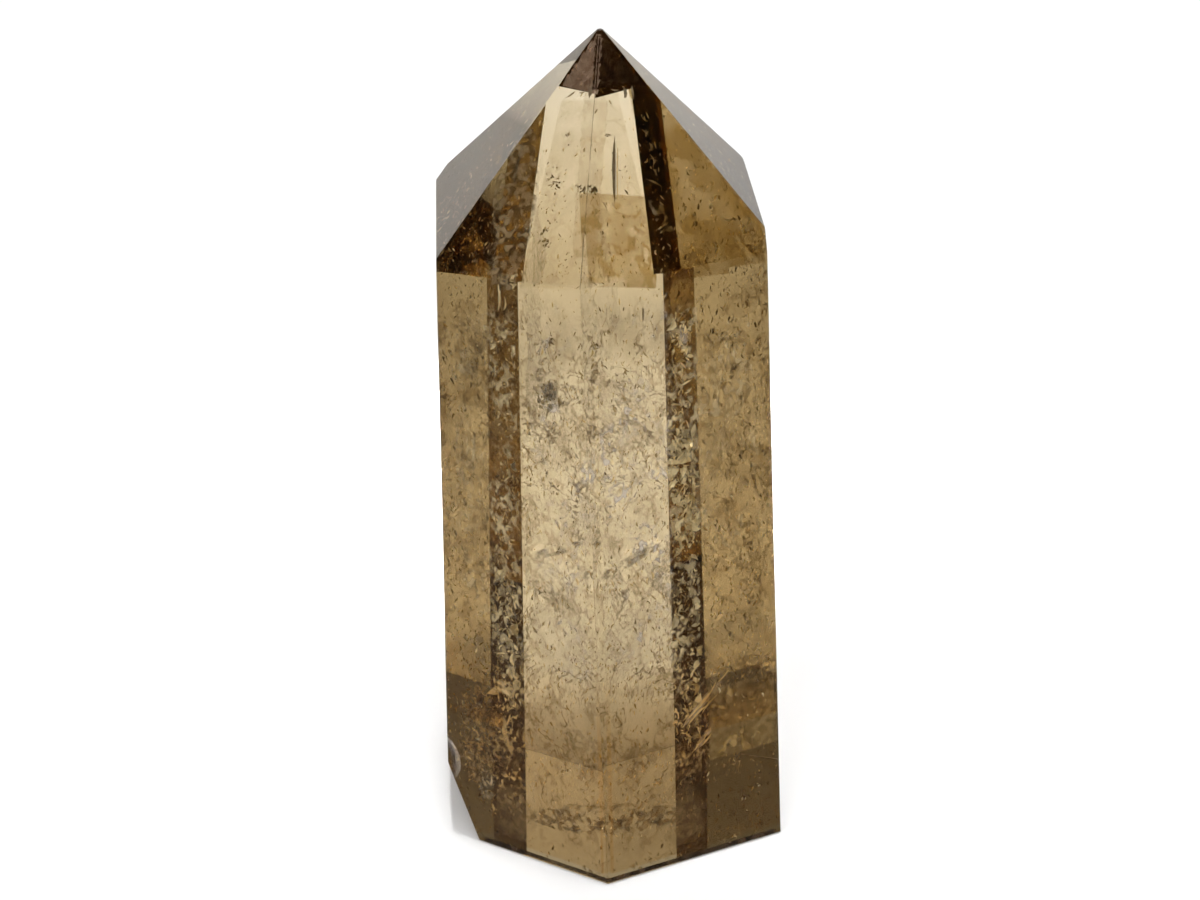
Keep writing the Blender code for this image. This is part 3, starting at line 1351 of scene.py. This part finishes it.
VEIL_SETS = (
    # Healed fractures that sparkle
    VeilSet("healed_fractures", VeilFinish("healed_fracture", gloss_level=0.3), general_veils()),
    VeilSet(
        "dense_fractures",
        VeilFinish(
            "dense_fracture",
            trail_scale=1100.0, trail_width=0.08, steepness=0.9, patch_level=0.30,
            faintest=0.35, strongest=0.95,
            mist=0.5, mist_scale=500.0, mist_levels=(0.42, 0.62), glint=0.1, gloss_level=0.0,
            pale=(0.60, 0.47, 0.30, 1.0), dark=(0.16, 0.11, 0.05, 1.0),
        ),
        (
            Veil((-3.85, -12.1, 33.8), (-37.0, 0.0), 8.6, 1.1, 0.2, 30.0),
            Veil((1.0, -12.2, 32.5), (38.0, 0.0), 8.0, 1.3, 0.3, 13.0),
            Veil((-11.4, -7.9, 52.8), (-32.0, 17.0), 3.4, 7.6, 0.5),
            Veil((-4.4, -12.7, 49.9), (-20.0, 17.0), 2.2, 3.2, 0.3),
            Veil((-11.4, -8.8, 10.0), (-35.0, 10.0), 6.5, 11.0, 0.6),
        ),
        seed=9,
    ),
    VeilSet(
        "feather_fractures",
        VeilFinish(
            "feather_fracture",
            trail_scale=500.0, trail_width=0.30, steepness=0.5, patch_level=0.20,
            faintest=0.55, strongest=0.95, mist=0.3, glint=0.3,
            pale=(0.98, 0.90, 0.80, 1.0), dark=(0.75, 0.64, 0.56, 1.0),
        ),
        (
            Veil((8.3, -10.9, 16.0), (36.0, 0.0), 6.4, 1.0, 0.2, 39.0),
            Veil((8.4, -11.2, 12.1), (28.0, 0.0), 3.4, 0.8, 0.2, 46.0),
            Veil((6.7, -11.2, 54.8), (28.0, 10.0), 1.2, 2.2, 0.3),
        ),
        steps=18, seed=3,
    ),
    VeilSet(
        "band_fractures",
        VeilFinish(
            "band_fracture",
            trail_scale=820.0, trail_width=0.15, steepness=0.75,
            patch_scale=260.0, patch_level=0.44, faintest=0.40, strongest=0.95,
            thin_heights=ABOVE_TIP, mist=0.06, soft_rim=0.08, glint=0.15,
            pale=(0.98, 0.84, 0.53, 1.0), dark=(0.22, 0.14, 0.07, 1.0),
        ),
        (
            pane((6.6, -11.3, 33.0), NEAR_RIGHT_FACE, 3.3, 50.0, buckle=0.1),
            pane((-8.9, -10.6, 31.0), LEFT_FACE, 3.6, 54.0, 0.9, buckle=0.1),
            Veil((12.0, -8.6, 15.5), NEAR_RIGHT_FACE, 9.5, 9.5, 0.2, 0.0, 0.22),
            Veil((-11.8, -8.4, 12.0), LEFT_FACE, 5.5, 11.0, 0.2, 0.0, 0.4),
            Veil((5.0, -9.0, 64.6), RIGHT_CROWN, 1.5, 9.0, 0.05, 4.0, 0.35),
            Veil((10.5, -9.3, 44.0), NEAR_RIGHT_FACE, 7.5, 24.0, 0.3, 0.0, 0.3),
            Veil((-11.6, -8.8, 38.0), LEFT_FACE, 5.0, 30.0, 0.3, 0.0, 0.3),
        ),
        steps=34, seed=21,
    ),
    # Dull zones, dark at the tip and foot and pale at the foot's corners; painted shade at the tip and
    # painted light at the right corner
    VeilSet(
        "smoke_bands",
        smoke(
            "smoke_band",
            trail_scale=700.0, trail_width=0.07, patch_level=0.35, faintest=0.3, strongest=0.9,
            mist=0.72, mist_scale=300.0, mist_levels=(0.15, 0.50), soft_rim=0.12,
            pale=(0.06, 0.03, 0.01, 1.0), dark=(0.02, 0.008, 0.003, 1.0),
        ),
        (
            # Near-black sheet inside the tip's right crown facet: painted shade for the dark that the
            # tip reflects
            pane((1.05, -1.14, 77.27), RIGHT_CROWN, 6.0, 5.4),
            Veil((11.0, -9.0, 21.5), NEAR_RIGHT_FACE, 10.0, 7.0, 0.2, 0.0, 0.18),
            Veil((-11.2, -9.2, 20.0), LEFT_FACE, 6.0, 6.0, 0.2, 0.0, 0.25),
        ),
        seed=14,
    ),
    VeilSet(
        "ragged_smoke",
        smoke(
            "ragged_smoke",
            trail_scale=620.0, trail_width=0.15, steepness=1.2,
            patch_scale=420.0, patch_level=0.38, faintest=0.45, strongest=0.9,
            mist=0.42, mist_scale=900.0, mist_levels=(0.46, 0.58), soft_rim=0.2,
            pale=(0.40, 0.29, 0.16, 1.0), dark=(0.09, 0.06, 0.025, 1.0),
        ),
        (
            Veil((-3.2, -12.0, 4.0), (-32.0, 5.0), 9.6, 2.6, 0.1, 10.0),
            Veil((2.9, -12.8, 4.4), (26.6, 5.0), 8.6, 2.6, 0.1, -9.0),
            Veil((-0.4, -13.2, 5.6), (-4.0, 5.0), 7.0, 2.4, 0.1, 0.0, 0.6),
            Veil((-2.0, -14.2, 13.5), LEFT_FACE, 5.0, 3.6, 0.2, 0.0, 0.35),
            Veil((2.2, -14.6, 12.0), (26.6, 0.0), 5.0, 3.6, 0.2, 0.0, 0.3),
            Veil((-7.75, -8.1, 65.6), LEFT_CROWN, 4.6, 18.0, 0.02, 18.0),
        ),
        seed=31,
    ),
    VeilSet(
        "apex_haze",
        smoke(
            "apex_haze",
            trail_scale=900.0, trail_width=0.04, mist=0.24, mist_levels=(0.0, 0.3), soft_rim=0.02,
            pale=(0.75, 0.52, 0.36, 1.0), dark=(0.55, 0.36, 0.24, 1.0),
        ),
        (pane((-0.9, -1.3, 77.3), LEFT_CROWN, 8.0, 6.2),),
        seed=19,
    ),
    VeilSet(
        "foot_haze",
        smoke(
            "foot_haze",
            trail_scale=900.0, trail_width=0.05, mist=0.22, mist_levels=(0.0, 0.45), soft_rim=0.6,
            pale=(0.66, 0.59, 0.42, 1.0), dark=(0.46, 0.39, 0.27, 1.0),
        ),
        (
            Veil((-8.6, -10.3, 3.4), LEFT_FACE, 6.0, 7.0),
            Veil((6.2, -11.9, 3.4), RIGHT_FACE, 6.0, 8.0),
        ),
        lowest=0.3 * MM, seed=71,
    ),
    # Pale tan sheet at the foot's right corner: painted light, in place of bright room light from the
    # left front seen through the stone
    VeilSet(
        "corner_haze",
        smoke(
            "corner_haze",
            trail_scale=620.0, trail_width=0.14, steepness=0.9, faintest=0.3, strongest=0.8,
            mist=0.30, mist_levels=(0.0, 0.5), soft_rim=0.1,
            pale=(0.68, 0.60, 0.38, 1.0), dark=(0.44, 0.37, 0.20, 1.0),
        ),
        (pane((12.9, -8.9, 13.4), NEAR_RIGHT_FACE, 9.0, 8.2),),
        seed=73,
    ),
    # Films just below the facets, the pale ones a painted flare, and dark lines along the foot that
    # are painted contact shadow
    VeilSet(
        "stained_films",
        StainFinish(),
        (
            pane((-8.3, -11.6, 30.3), LEFT_FACE, 19.0, 60.0, 0.7),
            pane((7.6, -11.9, 30.3), RIGHT_FACE, 19.0, 60.0, 0.7),
            pane((12.2, -9.2, 36.0), RIGHT_FACE, 9.0, 46.0, 0.6),
            pane((-12.3, -8.6, 36.0), LEFT_FACE, 6.4, 46.0, 0.8),
        ),
        steps=60, skin=0.2 * MM, lowest=0.2 * MM, seed=18,
    ),
    VeilSet(
        "crown_films",
        StainFinish(
            "golden_stain", tint=(0.52, 0.42, 0.24, 1.0),
            cloud_levels=(0.10, 0.62), cloud_share=0.9, line_share=0.5, soft_rim=0.05,
        ),
        (
            pane((10.2, -6.97, 65.4), RIGHT_CROWN, 12.5, 26.0, 1.0, -6.0),
            pane((1.3, -12.4, 64.3), RIGHT_CROWN, 6.6, 8.6, 0.9, -15.0),
            pane((-1.9, -9.9, 67.8), LEFT_CROWN, 8.0, 18.0, 0.28, 12.0),
            pane((-0.7, -8.5, 69.7), RIGHT_CROWN, 7.6, 17.0, 0.28, -6.0),
        ),
        steps=40, skin=0.2 * MM, seed=44,
    ),
    # Pale cream sheets under the front faces: a painted flare that whitens the middle
    VeilSet(
        "pale_films",
        VeilFinish(
            "pale_film",
            trail_scale=900.0, trail_width=0.07, steepness=0.8,
            patch_scale=200.0, patch_level=0.50, faintest=0.2, strongest=0.6,
            mist=0.03, mist_levels=(0.0, 0.5), soft_rim=0.03, glint=0.1, gloss_level=0.0,
            pale=(0.98, 0.92, 0.86, 1.0), dark=(0.82, 0.72, 0.62, 1.0),
        ),
        (
            pane((-3.9, -15.2, 40.5), LEFT_FACE, 6.4, 39.0),
            pane((2.5, -15.3, 40.5), RIGHT_FACE, 7.2, 39.0),
        ),
        steps=40, seed=52,
    ),
    # Dark sheets just inside the foot's front edges: painted contact shadow along the foot
    VeilSet(
        "foot_lines",
        smoke(
            "foot_line",
            trail_scale=400.0, trail_width=0.3,
            mist=0.85, mist_scale=120.0, mist_levels=(0.1, 0.5), soft_rim=0.02,
            pale=(0.10, 0.06, 0.03, 1.0), dark=(0.03, 0.015, 0.006, 1.0),
        ),
        (
            pane((-6.2, -14.72, 0.26), LEFT_FACE, 14.5, 0.48),
            pane((8.1, -14.22, 0.26), RIGHT_FACE, 19.0, 0.48),
        ),
        skin=0.04 * MM, lowest=0.03 * MM, seed=60,
    ),
)


@dataclass(frozen=True)
class Inclusions:
    """Everything that lies inside the stone."""

    cracks: CrackFinish = CrackFinish()
    haze: Haze = Haze()
    landmarks: Landmarks = Landmarks()
    veils: tuple[VeilSet, ...] = VEIL_SETS
    crumb_seed: int = 3
    landmark_seed: int = 8

    def build(self, stone: CutStone) -> list[Object]:
        """Make each kind of inclusion.

        Args:
            stone: The stone that holds them.

        Returns:
            The finished pieces.
        """
        tree = ShardTree(self.cracks.material())
        pieces = [
            tree.grow("crumb_cracks", self.haze.scatter(stone), self.crumb_seed),
            tree.grow("landmark_cracks", self.landmarks.scatter(), self.landmark_seed),
        ]
        tree.clear_stock()
        pieces += [veils.build(stone) for veils in self.veils]
        for piece in pieces:
            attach(piece, BODY)
        return pieces


# ---- The studio ----


@dataclass(frozen=True)
class Softbox:
    """One square soft light."""

    name: str
    place: Triple
    aim: Triple
    side: float
    watts: float
    spread: float = 180.0
    seen_in_stone: bool = False
    colour: Triple = (1.0, 1.0, 1.0)

    def build(self) -> None:
        """Place the light."""
        lamp = bpy.data.lights.new(self.name, "AREA")
        lamp.shape = "SQUARE"
        lamp.size = self.side
        lamp.energy = self.watts
        lamp.color = self.colour
        lamp.spread = math.radians(self.spread)
        made = bpy.data.objects.new(self.name, lamp)
        bpy.context.scene.collection.objects.link(made)
        made.location = self.place
        towards = Vector(self.place) - Vector(self.aim)
        made.rotation_euler = towards.to_track_quat("Z", "Y").to_euler()
        made.visible_transmission = self.seen_in_stone
        made.visible_glossy = self.seen_in_stone


@dataclass(frozen=True)
class Studio:
    """Paper sweep, lights and camera."""

    sweep_width: float = 4.0
    sweep_front: float = 2.0
    sweep_back: float = 0.6
    sweep_bend: float = 0.35
    bend_steps: int = 16
    sweep_height: float = 1.15
    air_gap: float = 0.04 * MM
    room_light: Colour = (0.25, 0.25, 0.25, 1.0)
    lights: tuple[Softbox, ...] = (
        Softbox("light_left", (-0.29, -0.38, 0.76), (0.0, 0.02, 0.0), 0.42, 1.72, seen_in_stone=True),
        Softbox("light_right", (0.19, -0.44, 0.76), (0.0, 0.02, 0.0), 0.42, 1.72, seen_in_stone=True),
        Softbox("light_front", (0.0, -0.90, 0.25), (0.0, 0.0, 0.04), 0.8, 7.0, seen_in_stone=True),
        Softbox("light_table", (0.0, 0.114, 0.50), (0.0, 0.114, 0.0), 0.29, 0.16, 8.0),
        Softbox(
            "light_paper", (-0.006, 0.066, 0.38), (-0.006, 0.066, 0.0), 0.048, 0.088, 6.0,
            colour=(0.92, 0.98, 1.12),
        ),
        Softbox(
            "light_backdrop", (0.0, 0.50, 0.60), (0.0, 0.85, 0.0), 0.6, 1.9, 80.0,
            colour=(1.0, 0.90, 0.74),
        ),
    )
    camera_lift: float = 27.034
    camera_away: float = 310.84 * MM
    camera_aim: float = 37.53 * MM
    camera_roll: float = 0.83
    lens_mm: float = 97.386
    sensor_mm: float = 36.0
    nearest: float = 0.01
    bounces: int = 24
    glossy_bounces: int = 12
    clear_bounces: int = 64

    def _sweep(self) -> None:
        """Lay floor and backdrop in one smooth sheet of paper."""
        front, back, bend = -self.sweep_front, self.sweep_back, self.sweep_bend
        profile = [(front, -self.air_gap), (back, -self.air_gap)]
        for step in range(1, self.bend_steps + 1):
            turn = math.pi / 2 * step / self.bend_steps
            rise = bend * (1 - math.cos(turn)) - self.air_gap
            profile.append((back + bend * math.sin(turn), rise))
        profile.append((back + bend, self.sweep_height))
        half = self.sweep_width / 2
        points = [(x, y, z) for y, z in profile for x in (-half, half)]
        faces = [(2 * i, 2 * i + 1, 2 * i + 3, 2 * i + 2) for i in range(len(profile) - 1)]
        mesh = bpy.data.meshes.new("paper_sweep")
        mesh.from_pydata(points, [], faces)
        mesh.materials.append(PaperFinish().material())
        sweep = link("paper_sweep", mesh)

    def _room(self) -> None:
        """Fill the room with plain dim light from everywhere."""
        world = bpy.data.worlds.new("room")
        world.use_nodes = True
        world.node_tree.nodes["Background"].inputs["Color"].default_value = self.room_light
        bpy.context.scene.world = world

    def _camera(self, middle: Vector) -> None:
        """Set a camera that looks slightly down at the front edge.

        Args:
            middle: How far the stone was moved from its own axes onto the origin.
        """
        lift, roll = math.radians(self.camera_lift), math.radians(self.camera_roll)
        forward = Vector((0, math.cos(lift), -math.sin(lift)))
        place = Vector((0, 0, self.camera_aim)) - forward * self.camera_away - middle
        right = Vector((1, 0, 0))
        down = forward.cross(right)
        turned_right = right * math.cos(roll) + down * math.sin(roll)
        turned_down = down * math.cos(roll) - right * math.sin(roll)
        data = bpy.data.cameras.new("camera")
        data.lens = self.lens_mm
        data.sensor_width = self.sensor_mm
        data.clip_start = self.nearest
        camera = bpy.data.objects.new("camera", data)
        axes = Matrix((turned_right, -turned_down, -forward)).transposed()
        camera.matrix_world = Matrix.Translation(place) @ axes.to_4x4()
        bpy.context.scene.collection.objects.link(camera)
        bpy.context.scene.camera = camera

    def build(self, middle: Vector) -> None:
        """Set up everything round the stone.

        Args:
            middle: How far the stone was moved from its own axes onto the origin.
        """
        self._sweep()
        self._room()
        for light in self.lights:
            light.build()
        self._camera(middle)
        scene = bpy.context.scene
        scene.view_settings.view_transform = "Standard"
        scene.cycles.max_bounces = self.bounces
        scene.cycles.glossy_bounces = self.glossy_bounces
        scene.cycles.transmission_bounces = self.bounces
        scene.cycles.transparent_max_bounces = self.clear_bounces


def main() -> None:
    """Build the stone and its studio."""
    logging.basicConfig(level=logging.INFO, format="%(name)s: %(message)s")
    stone = CutStone()
    body = stone.build(SmokyQuartz())
    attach(body, BODY)
    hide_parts(NODE)
    LOG.info("%s: %d faces", body.name, len(body.data.polygons))
    for piece in Inclusions().build(stone):
        LOG.info("%s: %d faces", piece.name, len(piece.data.polygons))
    Studio().build(stone.middle)


if __name__ == "__main__":
    main()
